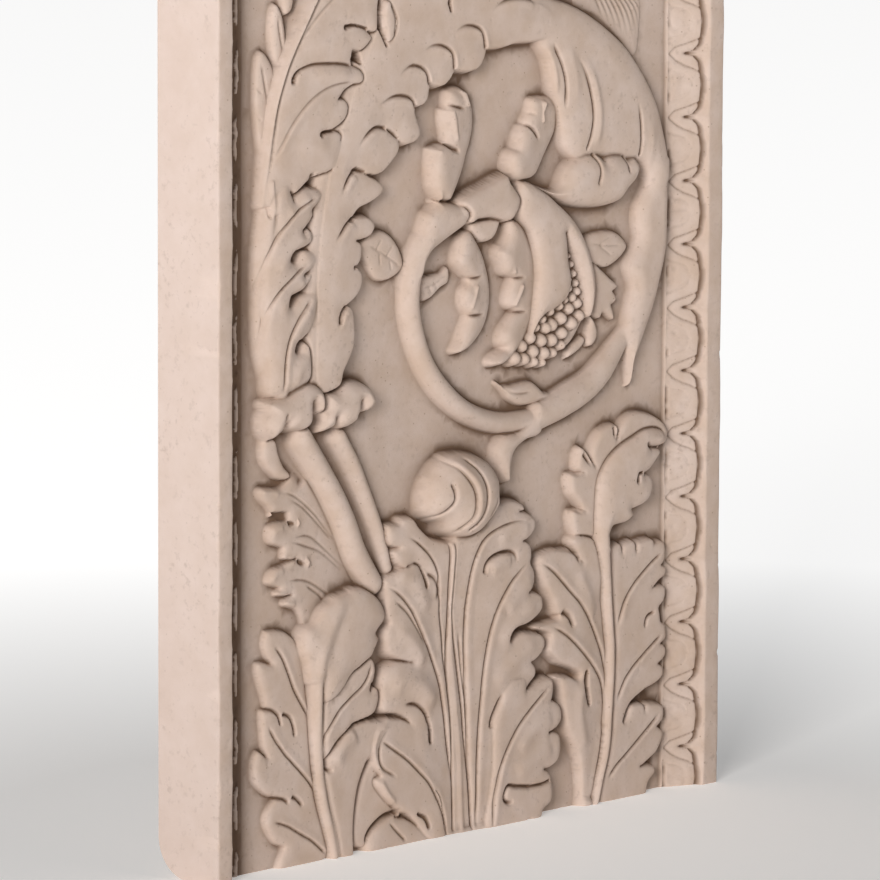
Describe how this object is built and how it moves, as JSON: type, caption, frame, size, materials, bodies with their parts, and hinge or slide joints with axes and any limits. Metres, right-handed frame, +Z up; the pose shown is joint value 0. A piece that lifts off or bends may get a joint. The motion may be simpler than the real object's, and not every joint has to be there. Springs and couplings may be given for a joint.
{
  "type": "stone relief panel",
  "caption": "Upright stone relief panel carved with a scrolling acanthus stem, pods and a bud between two leaf-and-dart frame mouldings, with a flat back for fixing to a wall.",
  "frame": {"origin": "middle of the panel's bounding box, at its underside", "axes": "+Z up, -Y out of the carved face, +Y out of the flat back, +X to the viewer's right when facing the carving"},
  "size_m": [0.688, 0.088, 0.82],
  "materials": {
    "stone": "matte beige-pink cast stone, fine pitted, slightly darker in the hollows"
  },
  "bodies": {
    "root": {"relief_panel": "stone"}
  },
  "joints": []
}
